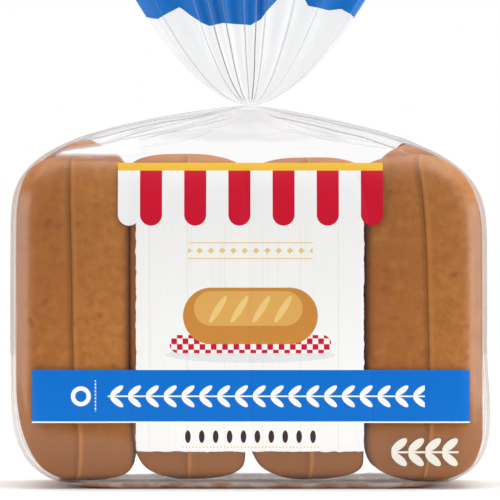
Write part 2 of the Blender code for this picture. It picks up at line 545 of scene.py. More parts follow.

# %% [markdown]
# The tail carries the blue of the film's upper print, painted a little lighter than the band's blue as
# painted light shining through the thin film from behind. When the film is gathered, the straight lower
# edge of that print turns into scallops, because each pleat runs to the neck by a way of its own. We write
# the edge as heights above the neck at a few places across the tail, and keep for every point how far
# above the edge it is. The material turns that smooth number into a crisp edge.

# %% Where the tail is printed
FRONT_EDGE = (
    (-1.0, 41.0), (-0.86, 40.5), (-0.62, 46.0), (-0.55, 42.0), (-0.47, 38.5), (-0.40, 37.0),
    (-0.27, 38.4), (0.0, 37.4), (0.10, 40.0), (0.17, 45.0), (0.28, 53.0), (0.42, 52.0),
    (0.50, 46.5), (0.70, 44.4), (0.80, 45.2), (0.95, 41.8), (1.0, 42.0),
)
BACK_EDGE = ((-1.0, 42.0), (-0.5, 58.0), (0.0, 56.0), (0.5, 60.0), (1.0, 41.0))


def edge_height(edge, x):
    places, heights = zip(*edge)
    return np.interp(x, places, heights)


front_edge = edge_height(FRONT_EDGE, station_x)
back_edge = edge_height(BACK_EDGE, station_x)
blend_over = np.clip((station_y + 1) / 2, 0, 1)
edge_above_neck = front_edge * (1 - blend_over) + back_edge * blend_over
above_edge = (film_points[:, :, 2] - NECK_HEIGHT) / MM - edge_above_neck
print("the tail's print starts", round(float(edge_above_neck.min())), "mm above the neck")

# %% [markdown]
# The points become a mesh: a face between every four neighbours, the seam at the bottom merged shut, and
# the numbers stored as attributes of the points, where the material can read them. A fold has two
# numbers for each point, so it is stored as a vector.


# %% The film's mesh
def store(mesh, key, values):
    """One number, or one vector, for every point."""
    if values.ndim == 3:
        attribute = mesh.attributes.new(key, "FLOAT_VECTOR", "POINT")
        attribute.data.foreach_set("vector", values.reshape(-1).astype(np.float32))
    else:
        attribute = mesh.attributes.new(key, "FLOAT", "POINT")
        attribute.data.foreach_set("value", values.reshape(-1).astype(np.float32))


def grid_mesh(name, points, attributes):
    rows, count = points.shape[:2]
    index = np.arange(rows * count).reshape(rows, count)
    after = np.roll(index, -1, axis=1)
    faces = np.stack([index[:-1], after[:-1], after[1:], index[1:]], axis=-1).reshape(-1, 4)
    mesh = bpy.data.meshes.new(name)
    mesh.from_pydata(points.reshape(-1, 3).tolist(), [], faces.tolist())
    for key, values in attributes.items():
        store(mesh, key, values)
    shape = bmesh.new()
    shape.from_mesh(mesh)
    bmesh.ops.remove_doubles(shape, verts=shape.verts[:], dist=1e-6)
    shape.to_mesh(mesh)
    shape.free()
    mesh.shade_smooth()
    return mesh


def put_in_scene(name, mesh):
    obj = bpy.data.objects.new(name, mesh)
    bpy.context.scene.collection.objects.link(obj)
    return obj


film_mesh = grid_mesh(
    "film_bag", film_points,
    {
        "from_pleat": from_pleat, "pleat_shows": pleat_here, "above_edge": above_edge,
        "painted_glare": painted_glare, **fold_numbers,
    },
)
film = put_in_scene("film_bag", film_mesh)
print("the film has", len(film_mesh.polygons), "faces")

# %% [markdown]
# ## A bun's shape
#
# A top-sliced bun is a soft loaf about three times as long as it is wide, squared up by its neighbours
# in the tin. It is cut from the top, so the crust has one shallow slit along its whole length, and the
# crust on its right stands up a little. In the bag the outer corners are pressed in, each by its own
# amount.
#
# All eight follow one rule with different numbers, so this is a job for Geometry Nodes: one tree with
# named inputs, used eight times. A flat grid is bent round: across the grid is round the bun, and along
# the grid is up the bun and in over its two ends. The grid is finest along the slit. A pressed corner is
# a quarter of an ellipse: so wide at the end of the bun, and gone at such a height from it.
#
# The tree also stores numbers for the crust's colour. The one for the slit is above zero in the groove
# and on the lip at its left, where the colour has painted shade, and below zero on the right lip, where
# it has a painted highlight.

# %% The bun's tree
ROUND_POINTS = 150
LENGTH_POINTS = 170
LONG_SIDE_SHARE = 0.84
SLIT_FINENESS = 1.571
CAP_HEIGHT = 0.0085
CAP_POWER = 2.6
SQUARENESS = 11.5
FRONT_IN = 0.0032
FRONT_IN_HEIGHT = 0.0220
SHADED_LIP = (-0.0009, 0.0014)
LIT_LIP = (0.0017, 0.0012)
LIP_SHARPNESS = 0.0007
LIP_RUNS_OUT = 0.0100
BULGE_PLACE = (0.0190, 0.0140)
CORNERS = ("Top Left", "Top Right", "Bottom Left", "Bottom Right")

BUN_NUMBERS = (
    "Half Width", "Half Depth", "Half Length",
    "Slit Low", "Slit High", "Slit Bow", "Slit Depth", "Slit Width", "Lip",
    *(f"{corner} Wide" for corner in CORNERS),
    *(f"{corner} High" for corner in CORNERS),
    "Lean", "Bulge", "Unevenness", "Seed",
)


def superellipse(a, b, power):
    return ((a**power) + (b**power)) ** (1 / power)


def pressed_in(wide, high, distance):
    """A quarter of an ellipse: so wide where the distance is 0, and gone where it is as high."""
    left_over = 1 - (distance / high).least(1.0)
    return wide * (1 - (1 - left_over * left_over).most(0.0).math("SQRT"))


def bell(value, middle, reach):
    away = (value - middle) / reach
    return (away * away * -1).math("EXPONENT")


def bun_tree():
    tree = bpy.data.node_groups.new("bun_shape", "GeometryNodeTree")
    sockets = {}
    for name in BUN_NUMBERS:
        sockets[name] = tree.interface.new_socket(
            name=name, in_out="INPUT", socket_type="NodeSocketFloat"
        )
    sockets["Material"] = tree.interface.new_socket(
        name="Material", in_out="INPUT", socket_type="NodeSocketMaterial"
    )
    tree.interface.new_socket(name="Geometry", in_out="OUTPUT", socket_type="NodeSocketGeometry")
    bench = Bench(tree)
    entry = bench.node("NodeGroupInput").socket.node
    given = {name: Wire(bench, entry.outputs[name]) for name in sockets}
    half_length, half_depth, width = given["Half Length"], given["Half Depth"], given["Half Width"]

    grid = bench.node(
        "GeometryNodeMeshGrid", sockets={0: 1.0, 1: 1.0, 2: ROUND_POINTS, 3: LENGTH_POINTS}
    )
    across, along, _ = bench.parts(bench.node("GeometryNodeInputPosition"))

    out = abs(along) * 2
    side = (out / LONG_SIDE_SHARE).least(1.0)
    turn = ((out - LONG_SIDE_SHARE) / (1 - LONG_SIDE_SHARE)).most(0.0) * (math.pi / 2)
    girth = turn.math("COSINE").most(0.0) ** (2 / CAP_POWER)
    cap = turn.math("SINE").most(0.0) ** (2 / CAP_POWER) * CAP_HEIGHT
    z = along.math("SIGN") * (side * (half_length - CAP_HEIGHT) + cap)
    z_share = z / half_length

    spread = (math.pi - SLIT_FINENESS / 2) * 8
    from_slit = across * SLIT_FINENESS + across * across * across * spread
    rise = (z_share + 1) * 0.5
    slit_x = given["Slit Low"] + (given["Slit High"] - given["Slit Low"]) * rise
    slit_x = slit_x + given["Slit Bow"] * (1 - z_share * z_share * z_share * z_share)
    angle = from_slit - math.pi / 2 + slit_x / half_depth
    cosine, sine = angle.math("COSINE"), angle.math("SINE")
    reach = 1 / superellipse(abs(cosine) / width, abs(sine) / half_depth, SQUARENESS)

    distance = from_slit * half_depth
    groove = bell(distance, 0.0, given["Slit Width"])
    # For the colour: painted shade in the groove and on the left lip, a painted highlight on the right lip.
    slit_shade = groove.most(bell(distance, *SHADED_LIP) * 0.60) - bell(distance, *LIT_LIP) * 0.60
    step = (distance / LIP_SHARPNESS).math("TANH") * bell(distance, 0.0, LIP_RUNS_OUT)
    relief = (step * given["Lip"] - groove * given["Slit Depth"]) * girth

    x = girth * reach * cosine
    y = girth * reach * sine - relief
    from_top, from_bottom = half_length - z, half_length + z
    pressed = {}
    for end, distance_from in (("Top", from_top), ("Bottom", from_bottom)):
        for hand in ("Left", "Right"):
            wide, high = given[f"{end} {hand} Wide"], given[f"{end} {hand} High"]
            pressed[end, hand] = pressed_in(wide, high, distance_from)
    is_left = x < 0.0
    left_in = (pressed["Top", "Left"] + pressed["Bottom", "Left"]) * is_left
    right_in = (pressed["Top", "Right"] + pressed["Bottom", "Right"]) * (1 - is_left)
    x = x * (1 - (left_in + right_in) / width)
    front_in = pressed_in(FRONT_IN, FRONT_IN_HEIGHT, from_top.least(from_bottom)) * (y < 0.0)
    y = y * (1 - front_in / half_depth)

    x_share = x / width
    high_end = bench.ramp(z_share, 0.25, 1.15) ** 2
    x = x + given["Lean"] * high_end
    x = x + given["Bulge"] * bell(from_bottom, *BULGE_PLACE) * (x_share + 1) * 0.5

    place = bench.node("ShaderNodeCombineXYZ", sockets={0: x, 1: y, 2: z})
    rough = bench.node(
        "ShaderNodeTexNoise", {"noise_dimensions": "4D"},
        {"Vector": place, "W": given["Seed"], "Scale": 26.0, "Detail": 3.0, "Roughness": 0.42},
        output=1,
    )
    push = bench.node("ShaderNodeVectorMath", {"operation": "SUBTRACT"}, {0: rough, 1: (0.5, 0.5, 0.5)})
    push = bench.node("ShaderNodeVectorMath", {"operation": "MULTIPLY"}, {0: push, 1: (0.35, 1.0, 1.0)})
    push = bench.node(
        "ShaderNodeVectorMath", {"operation": "SCALE"}, {0: push, "Scale": given["Unevenness"]}
    )
    place = bench.node("ShaderNodeVectorMath", {"operation": "ADD"}, {0: place, 1: push})

    shape = grid
    stored = (
        ("slit", slit_shade), ("side", abs(cosine)), ("across", x_share), ("girth", girth),
    )
    for name, value in stored:
        shape = bench.node(
            "GeometryNodeStoreNamedAttribute", {"data_type": "FLOAT", "domain": "POINT"},
            {"Geometry": shape, "Name": name, "Value": value},
        )
    shape = bench.node("GeometryNodeSetPosition", sockets={"Geometry": shape, "Position": place})
    shape = bench.node("GeometryNodeMergeByDistance", sockets={"Geometry": shape, "Distance": 1e-5})
    shape = bench.node("GeometryNodeSetShadeSmooth", sockets={"Geometry": shape})
    shape = bench.node("GeometryNodeRealizeInstances", sockets={"Geometry": shape})
    shape = bench.node(
        "GeometryNodeSetMaterial", sockets={"Geometry": shape, "Material": given["Material"]}
    )
    bench.node("NodeGroupOutput", sockets={0: shape})
    return tree, sockets


bun_shape, bun_sockets = bun_tree()
print("the bun's tree has", len(bun_shape.nodes), "nodes")

# %% [markdown]
# ## The crust
#
# The crust is the smooth brown skin of a soft roll. It is matte and nearly even, with a fine mottling, a
# few soft reddish spots, and paler sides where the roll was torn from its neighbour. Its colour also holds
# painted light and shade: the left of each bun is painted a little darker than the right, its foot and its
# two edges carry painted shade, and the slit has painted shade in its groove and on its left lip and a
# painted highlight on its right lip. Noise of several sizes and the tree's numbers make each of these.
# They only change the colour, and a fine bump gives the skin its slightly dry grain.


# %% The crust's material
def new_material(name):
    material = bpy.data.materials.new(name)
    material.use_nodes = True
    material.node_tree.nodes.clear()
    return material, Bench(material.node_tree)


def mixed(bench, mask, below, above):
    """One colour laid over another where the mask is 1."""
    return bench.node(
        "ShaderNodeMix", {"data_type": "RGBA"}, {0: mask, 6: below, 7: above}, output=2
    )


def noise_at(bench, place, scale, detail=2.0, roughness=0.5):
    return bench.node(
        "ShaderNodeTexNoise",
        sockets={"Vector": place, "Scale": scale, "Detail": detail, "Roughness": roughness},
    )


def attribute(bench, name, output=2):
    return bench.node("ShaderNodeAttribute", {"attribute_name": name}, output=output)


CRUST_BROWN = (0.470, 0.161, 0.0245, 1)
CRUST_DARK = (0.365, 0.110, 0.0150, 1)
CRUST_GOLD = (0.600, 0.230, 0.0420, 1)
RED_SPOT = (0.300, 0.066, 0.0120, 1)
TORN_SIDE = (0.640, 0.400, 0.170, 1)
# Painted shade in the slit's groove and on its left lip.
SLIT_PAINTED_SHADE = (0.245, 0.076, 0.0060, 1)
# Painted shade for the foot and the two edges of each bun.
CRUST_PAINTED_SHADE = (0.300, 0.095, 0.0120, 1)


def crust_material():
    material, bench = new_material("bun_crust")
    place = bench.node("ShaderNodeTexCoord", output=3)
    _, _, height = bench.parts(place)
    zones = bench.ramp(noise_at(bench, place, 34, 3, 0.6), 0.38, 0.66)
    mottling = bench.ramp(noise_at(bench, place, 250, 4, 0.62), 0.34, 0.66)
    pale = bench.ramp(noise_at(bench, place, 120, 3, 0.6), 0.50, 0.74)
    spots = bench.ramp(noise_at(bench, place, 135, 1, 0.5), 0.62, 0.78)
    # Painted light and shade: 1 on the left of each bun, which is painted darker, and 0 on its lighter
    # right.
    painted_shade_left = bench.ramp(attribute(bench, "across"), 0.9, -0.7)
    torn_edge = attribute(bench, "side") + (noise_at(bench, place, 50, 4, 0.6) - 0.5) * 0.26
    torn = bench.ramp(torn_edge, 0.90, 0.99) * bench.ramp(attribute(bench, "girth"), 0.75, 1.0)
    slit = attribute(bench, "slit")
    # Painted shade on the foot of each bun, where the floor's bounce light is held back.
    painted_shade_foot = bench.ramp(height, 0.058, 0.012)
    # Painted shade on the two edges of each bun, where the crust curves round.
    painted_shade_edges = bench.ramp(abs(attribute(bench, "across")), 0.84, 0.98)

    # The left is painted darker brown and the right lighter gold, as painted shade and painted light.
    colour = mixed(bench, painted_shade_left, CRUST_GOLD, CRUST_BROWN)
    colour = mixed(bench, zones * 0.30, colour, CRUST_DARK)
    colour = mixed(bench, mottling * 0.50, colour, CRUST_DARK)
    colour = mixed(bench, pale * 0.45, colour, CRUST_GOLD)
    colour = mixed(bench, spots * 0.55, colour, RED_SPOT)
    # Painted shade on the foot.
    colour = mixed(bench, painted_shade_foot * 0.85, colour, CRUST_PAINTED_SHADE)
    # Painted shade on the edges.
    colour = mixed(bench, painted_shade_edges * 0.60, colour, CRUST_PAINTED_SHADE)
    colour = mixed(bench, torn * 0.6, colour, TORN_SIDE)
    # A painted highlight on the slit's right lip, and painted shade in its groove and on its left lip.
    colour = mixed(bench, bench.ramp(slit, 0.0, -1.0), colour, CRUST_GOLD)
    colour = mixed(bench, bench.ramp(slit, 0.0, 1.1), colour, SLIT_PAINTED_SHADE)
    skin = noise_at(bench, place, 420, 3, 0.6) * 0.6 + noise_at(bench, place, 1500, 2, 0.5) * 0.25
    bump = bench.node("ShaderNodeBump", sockets={"Strength": 0.35, "Distance": 0.0004, "Height": skin})
    shader = bench.node(
        "ShaderNodeBsdfPrincipled",
        sockets={
            "Base Color": colour, "Roughness": 0.70, "Normal": bump, "Specular IOR Level": 0.15,
        },
    )
    bench.node("ShaderNodeOutputMaterial", sockets={0: shader})
    return material


crust = crust_material()
print("the crust has", len(crust.node_tree.nodes), "nodes")

# %% [markdown]
# ## Eight buns
#
# No two buns are alike. Each row of the table is one bun, in millimetres: where its middle is across the
# bag, its half width, the heights of its bottom and top, where its slit runs at the bottom and at the
# top and how far it bows between them, and how wide and high its four corners are pressed in. The back
# row faces the other way, so that the slits look out on both sides of the bag. Its outer buns stand
# higher than the front ones and lean inwards under the shoulders.

# %% The table of buns
BUNS = {
    "bun_front_1": dict(
        x=-81.85, half=26.4, ends=(3.4, 153.8), slit=(1.1, -1.7, 0.0),
        corners=((13, 32), (1, 10), (24, 44), (1.5, 15)), bulge=2.6,
    ),
    "bun_front_2": dict(
        x=-29.15, half=26.85, ends=(3.8, 155.2), slit=(-0.6, -0.4, 0.0),
        corners=((3, 10), (8, 16), (18, 30), (8, 12)),
    ),
    "bun_front_3": dict(
        x=25.4, half=26.9, ends=(3.8, 153.4), slit=(1.2, 0.6, 0.0),
        corners=((8, 16), (3, 10), (18, 25), (6, 10)),
    ),
    "bun_front_4": dict(
        x=80.0, half=27.4, ends=(3.0, 154.6), slit=(-1.1, -4.4, 4.5),
        corners=((3, 10), (25, 38), (20, 20), (17, 24)),
    ),
    "bun_back_1": dict(
        x=80.5, half=26.5, ends=(3.4, 161.5), slit=(1.5, -2.0, 0.5),
        corners=((22, 40), (25.5, 36), (20, 28), (10, 18)), lean=2.0,
    ),
    "bun_back_2": dict(
        x=27.3, half=26.2, ends=(3.8, 152.4), slit=(-1.0, 2.0, 0.0),
        corners=((3, 12), (7, 14), (12, 20), (14, 24)),
    ),
    "bun_back_3": dict(
        x=-27.0, half=26.2, ends=(3.6, 151.6), slit=(1.4, -1.2, 0.6),
        corners=((6, 14), (3, 12), (15, 26), (16, 22)),
    ),
    "bun_back_4": dict(
        x=-80.4, half=26.5, ends=(3.2, 163.0), slit=(0.6, 3.0, -0.6),
        corners=((24, 30), (16, 30), (16, 20), (24, 44)), lean=1.0,
    ),
}
BUN_HALF_DEPTH = 0.0263
ROW_MIDDLE = 0.0261
SLIT_DEPTH = 0.0006
SLIT_WIDTH = 0.00046
LIP_HEIGHT = 0.00022
UNEVENNESS = 0.0020
SEED_STEP = 3.7


def shaped(name, tree, sockets, values):
    """A plain mesh of what the tree makes with these values."""
    holder = put_in_scene(name, bpy.data.meshes.new(name + "_start"))
    modifier = holder.modifiers.new(name, "NODES")
    modifier.node_group = tree
    for key, value in values.items():
        modifier[sockets[key].identifier] = value
    holder.update_tag()
    graph = bpy.context.evaluated_depsgraph_get()
    mesh = bpy.data.meshes.new_from_object(holder.evaluated_get(graph), depsgraph=graph)
    mesh.name = name
    holder.modifiers.remove(modifier)
    start = holder.data
    holder.data = mesh
    bpy.data.meshes.remove(start)
    return holder


def bake_bun(name, number, bun):
    front = name.startswith("bun_front")
    low, high = [end * MM for end in bun["ends"]]
    slit_low, slit_high, slit_bow = [place * MM for place in bun["slit"]]
    values = {
        "Half Width": bun["half"] * MM, "Half Depth": BUN_HALF_DEPTH, "Half Length": (high - low) / 2,
        "Slit Low": slit_low, "Slit High": slit_high, "Slit Bow": slit_bow,
        "Slit Depth": SLIT_DEPTH, "Slit Width": SLIT_WIDTH, "Lip": LIP_HEIGHT,
        "Lean": bun.get("lean", 0.0) * MM, "Bulge": bun.get("bulge", 0.0) * MM,
        "Unevenness": UNEVENNESS, "Seed": SEED_STEP * number, "Material": crust,
    }
    for corner, (wide, tall) in zip(CORNERS, bun["corners"]):
        values[f"{corner} Wide"] = wide * MM
        values[f"{corner} High"] = tall * MM
    obj = shaped(name, bun_shape, bun_sockets, values)
    spin = Matrix.Rotation(0.0 if front else math.pi, 4, "Z")
    middle = Vector((bun["x"] * MM, -ROW_MIDDLE if front else ROW_MIDDLE, (low + high) / 2))
    obj.data.transform(Matrix.Translation(middle) @ spin)
    return obj


buns = [bake_bun(name, number, bun) for number, (name, bun) in enumerate(BUNS.items())]
print(len(buns), "buns are baked")

# %% [markdown]
# Soft buns give way where the film presses on them. We compare every point of a bun with the section of
# the film at its height, and push in what comes too close to the film, softly, so that the pressed
# faces run into the rest of the crust without an edge.

# %% The film's press on the buns
FILM_GAP = 0.0008
PRESS_SOFTNESS = 0.0014
press_z = np.linspace(0.0, NECK_HEIGHT, 400)
press_reach = np.array([(side_reach(LEFT, z), side_reach(RIGHT, z), front_reach(z)) for z in press_z])


def press(mesh):
    """Moves the points of a bun's mesh, and gives back how far the furthest one had to move."""
    points = np.empty(len(mesh.vertices) * 3)
    mesh.vertices.foreach_get("co", points)
    points = points.reshape(-1, 3)
    left, right, depth = [np.interp(points[:, 2], press_z, reach) for reach in press_reach.T]
    middle, half_width = (right - left) / 2, (right + left) / 2
    corner = np.minimum(CORNER_RADIUS, np.minimum(half_width, depth))
    place = np.stack([points[:, 0] - middle, points[:, 1]], axis=1)
    core = np.stack([half_width - corner, depth - corner], axis=1)
    inner = np.clip(place, -core, core)
    away = np.maximum(np.hypot(*(place - inner).T), 1e-9)
    limit = corner - FILM_GAP - PRESS_SOFTNESS
    over = np.maximum(away - limit, 0.0)
    eased = away - over + PRESS_SOFTNESS * (1 - np.exp(-over / PRESS_SOFTNESS))
    moved = inner + (place - inner) * (eased / away)[:, None]
    points[:, :2] = moved + np.stack([middle, np.zeros(len(points))], axis=1)
    mesh.vertices.foreach_set("co", points.reshape(-1))
    mesh.update()
    return float((away - eased).max())


for obj in buns:
    print(f"{obj.name} is pressed in by up to {press(obj.data) / MM:.1f} mm")

# %% [markdown]
# ## The print
#
# The film is printed before it is made into bags, so the print lies flat on the front of the bag as
# fields of plain ink: a blue band, a whitewashed board behind it, and small ornaments. We draw all of it
# with formulas on the film's own place in the bag, in millimetres. Each ornament is a mask, 1 inside and
# 0 outside, made from the formula of an ellipse, a capsule or a stripe. What repeats along a row uses
# the remainder of a division, so that one leaf becomes a whole garland.


# %% Masks for simple shapes
def within(value, low, high):
    return (value > low) * (value < high)


def ellipse(x, z, wide, high):
    across, up = x / wide, z / high
    return (across * across + up * up) < 1.0


def capsule(x, z, half_length, radius):
    along = (abs(x) - half_length).most(0.0)
    return (along * along + z * z) < radius * radius


def tilted(x, z, degrees):
    turn = math.radians(degrees)
    return x * math.cos(turn) + z * math.sin(turn), z * math.cos(turn) - x * math.sin(turn)


def garland(x, z, pitch, leaf_long, leaf_wide, lean=38, stem=0.35):
    """A row of leaf pairs on a straight stem."""
    along = x % pitch - pitch / 2
    rise = leaf_long * math.sin(math.radians(lean))
    u, v = tilted(along, abs(z) - rise - stem, lean)
    return ellipse(u, v, leaf_long, leaf_wide).most(abs(z) < stem)


def diamonds(x, z, pitch, size):
    along = x % pitch - pitch / 2
    return (abs(along) + abs(z)) < size


def dots(x, z, pitch, radius):
    return ellipse(x % pitch - pitch / 2, z, radius, radius)


print("the masks are ready")

# %% [markdown]
# The layout runs from the bottom of the bag to the top: a cream ear of wheat at the lower right, a row
# of brown grains with a dotted gold line, the blue band with a white garland, a flat drawing of a loaf on
# a checked cloth, a gold row of diamonds, and a striped awning over the board. The inks are strong blue,
# warm white, red, gold and brown.

# %% The layout and its inks
BLUE = (0.0005, 0.1680, 0.6400, 1)
# The print's blue painted lighter on the tail, as painted light shining through the film from behind.
BACKLIT_TAIL_BLUE = (0.0120, 0.2100, 0.7200, 1)
WHITE = (0.990, 0.985, 0.965, 1)
BRIGHT = (0.970, 0.970, 0.965, 1)
RED = (0.6600, 0.0050, 0.0300, 1)
GOLD = (0.9000, 0.5200, 0.0350, 1)
PALE_GOLD = (0.900, 0.640, 0.230, 1)
BROWN = (0.0500, 0.0240, 0.0220, 1)
CRUSTY = (0.640, 0.270, 0.050, 1)
CRUSTY_TOP = (0.800, 0.430, 0.110, 1)
CREAM = (0.920, 0.870, 0.760, 1)
SHADE = (0.700, 0.720, 0.740, 1)

BAND = (31.4, 55.1)
BAND_ENDS = (-100.6, 101.0)
BOARD = (17.5, 138.0)
BOARD_SIDES = (-52.7, 52.2)
AWNING = (121.5, 150.5)
AWNING_SIDES = (-61.0, 61.0)
JEWELS_HEIGHT = 110.0
JEWELS_REACH = 28.6
LOAF_HEIGHT = 80.0
CHECK = 5.2
LOAF_CUTS = (-15.0, -5.0, 5.0, 15.0)
GARLAND_HEIGHT = 43.0
GARLAND_ENDS = (-65.6, 80.2)
DIVIDER_PLACE = -71.3
DIVIDER_ENDS = (36.0, 50.4)
RING_PLACE = -78.0
GRAINS_HEIGHT = 24.4
DOTS_HEIGHT = 19.6
GRAINS_REACH = 32.0
EAR_START = 64.6
EAR_HEIGHT = 17.2
EAR_ENDS = (64.8, 95.8)


def board_layer(bench, x, z, place):
    """The whitewashed board, with faint upright grain and slightly worn edges."""
    worn = (noise_at(bench, place, 260, 3, 0.6) - 0.5) * 1.6
    mask = within(x + worn, *BOARD_SIDES) * within(z + worn, *BOARD)
    stretched = bench.node(
        "ShaderNodeVectorMath", {"operation": "MULTIPLY"}, {0: place, 1: (1.0, 1.0, 0.035)}
    )
    grain = bench.ramp(noise_at(bench, stretched, 620, 4, 0.65), 0.52, 0.72)
    gap = dots(x + 3.0, x * 0.0, 17.4, 0.18)
    return mask, mixed(bench, (grain * 0.14).most(gap * 0.30), WHITE, (0.62, 0.60, 0.55, 1))


def awning_layers(x, z):
    """A striped awning: its gold rail, and red and cream stripes with rounded lower ends."""
    stripe = AWNING_SIDES[1] / 6
    rail = within(z, AWNING[1] - 3.6, AWNING[1]) * within(x, *AWNING_SIDES)
    cloth = within(z, AWNING[0] + stripe / 2, AWNING[1] - 3.6) * within(x, *AWNING_SIDES)
    ends = dots(x, z - AWNING[0] - stripe / 2, stripe, stripe / 2) * within(x, *AWNING_SIDES)
    cloth = cloth.most(ends)
    red = (x % (stripe * 2)) > stripe
    return cloth, cloth * red, rail


def loaf_layers(x, z):
    """A flat drawing of a round-ended loaf with cuts across its top, on a cloth with red checks."""
    z = z - LOAF_HEIGHT
    shade = ellipse(x, z + 18.0, 39.0, 3.6)
    cloth = capsule(x, z + 13.0, 33.0, 4.2)
    checks = abs(((x % CHECK) < CHECK / 2) - ((z % CHECK) < CHECK / 2))
    loaf = capsule(x, z, 18.0, 13.0)
    lit = capsule(x + 1.0, z - 3.4, 17.0, 8.0)
    cuts = None
    for place in LOAF_CUTS:
        u, v = tilted(x - place, z - 3.0, 58)
        cut = ellipse(u, v, 7.2, 1.5)
        cuts = cut if cuts is None else cuts.most(cut)
    return shade, cloth, cloth * checks, loaf, lit, cuts


def print_of(bench):
    """The mask of all the ink on the front and the back, and its colours."""
    place = bench.node("ShaderNodeTexCoord", output=3)
    x, y, z = [part * 1000 for part in bench.parts(place)]
    x = x * (1 - (y > 0.0) * 2)
    faces = abs(y) > 30.0
    board, colour = board_layer(bench, x, z, place)

    cloth, red, rail = awning_layers(x, z)
    colour = mixed(bench, cloth, colour, BRIGHT)
    colour = mixed(bench, red, colour, RED)
    colour = mixed(bench, rail, colour, GOLD)

    above_jewels = z - JEWELS_HEIGHT
    jewels = diamonds(x, above_jewels, 5.2, 1.5).most(abs(abs(above_jewels) - 3.6) < 0.22)
    jewels = jewels * (abs(x) < JEWELS_REACH)
    colour = mixed(bench, jewels, colour, PALE_GOLD)

    shade, napkin, checks, loaf, lit, cuts = loaf_layers(x, z)
    colour = mixed(bench, shade * 0.5, colour, SHADE)
    colour = mixed(bench, napkin, colour, BRIGHT)
    colour = mixed(bench, checks, colour, RED)
    colour = mixed(bench, loaf, colour, CRUSTY)
    colour = mixed(bench, lit, colour, CRUSTY_TOP)
    colour = mixed(bench, cuts, colour, PALE_GOLD)

    in_row = abs(x) < GRAINS_REACH
    grains = ellipse(x % 6.4 - 3.2, z - GRAINS_HEIGHT, 1.3, 2.9)
    colour = mixed(bench, grains * in_row, colour, BROWN)
    colour = mixed(bench, dots(x, z - DOTS_HEIGHT, 1.6, 0.36) * in_row, colour, PALE_GOLD)

    band = within(z, *BAND) * within(x, *BAND_ENDS)
    light_line = within(z, BAND[0] - 0.7, BAND[0]) * within(x, *BAND_ENDS)
    colour = mixed(bench, light_line, colour, BRIGHT)
    colour = mixed(bench, band, colour, BLUE)
    middle = z - GARLAND_HEIGHT
    leaves = garland(x, middle, 8.2, 3.6, 1.35) * within(x, *GARLAND_ENDS)
    dashes = (z % 1.6) < 1.0
    divider = (abs(x - DIVIDER_PLACE) < 0.28) * dashes * within(z, *DIVIDER_ENDS)
    from_ring = x - RING_PLACE
    ring = ellipse(from_ring, middle, 4.6, 4.6) * (1 - ellipse(from_ring, middle, 2.6, 2.6))
    colour = mixed(bench, leaves.most(divider).most(ring), colour, BRIGHT)

    ear = garland(x - EAR_START, z - EAR_HEIGHT, 7.8, 4.4, 1.9, lean=40, stem=0.5)
    ear = ear * within(x, *EAR_ENDS)
    colour = mixed(bench, ear, colour, CREAM)
    ink = board.most(cloth).most(rail).most(band).most(light_line).most(ear) * faces

    blue_tail = attribute(bench, "above_edge") > 0.0
    # The tail's print blue, with painted light from behind.
    colour = mixed(bench, blue_tail, colour, BACKLIT_TAIL_BLUE)
    return ink.most(blue_tail), colour


print("the layout is ready")

# %% [markdown]
# ## The film
#
# Clear film lets nearly everything through. What makes it visible is its gloss, a faint milkiness, and
# the grey lines where a fold turns it edge-on or doubles it; here those lines are painted shade. So the
# material is a mix of shaders: clear and shiny by the angle, milky by the angle, along the folds and in
# the hem on which the bag stands, and ink where the film is printed. The milk also carries painted light:
# brown and pink in the hem as a painted reflection of the buns, and a painted white glare on one facet of
# the left shoulder. The ink has the same gloss, because it lies on the film, and paler painted lines where
# the folds cross it.

# %% The film's material
HAZE = (0.640, 0.705, 0.775, 1)
# Painted grey shade along the folds and pleats of the film.
PAINTED_FOLD_SHADE = (0.270, 0.275, 0.285, 1)
# The hem's brown and pink are a painted reflection of the buns in the folded film.
HEM_REFLECTED_BROWN = (0.580, 0.310, 0.170, 1)
HEM_REFLECTED_PINK = (0.820, 0.640, 0.540, 1)
GLARE = (0.930, 0.930, 0.930, 1)
MIRROR_AHEAD = 0.062
MIRROR_GRAZING = 0.50
MILK_AHEAD = 0.004
MILK_LOOSE = 0.015
MILK_GRAZING = 0.40
HEM_COVERS = 0.75
LINE_COVERS = 0.82
# How far the painted glare hides what is behind the film.
GLARE_COVERS = 0.94


def painted_fold_lines(bench):
    """1 on the sharp lines of the tail's pleats and the shoulders' folds, where grey shade is painted;
    weaker where they fade.
    """
    line = bench.ramp(attribute(bench, "from_pleat"), 0.45, 0.12) * attribute(bench, "pleat_shows")
    for name in fold_numbers:
        above, shows, _ = bench.parts(attribute(bench, name, output=1))
        line = line.most(bench.ramp(abs(above), 0.50, 0.14) * shows)
    return line


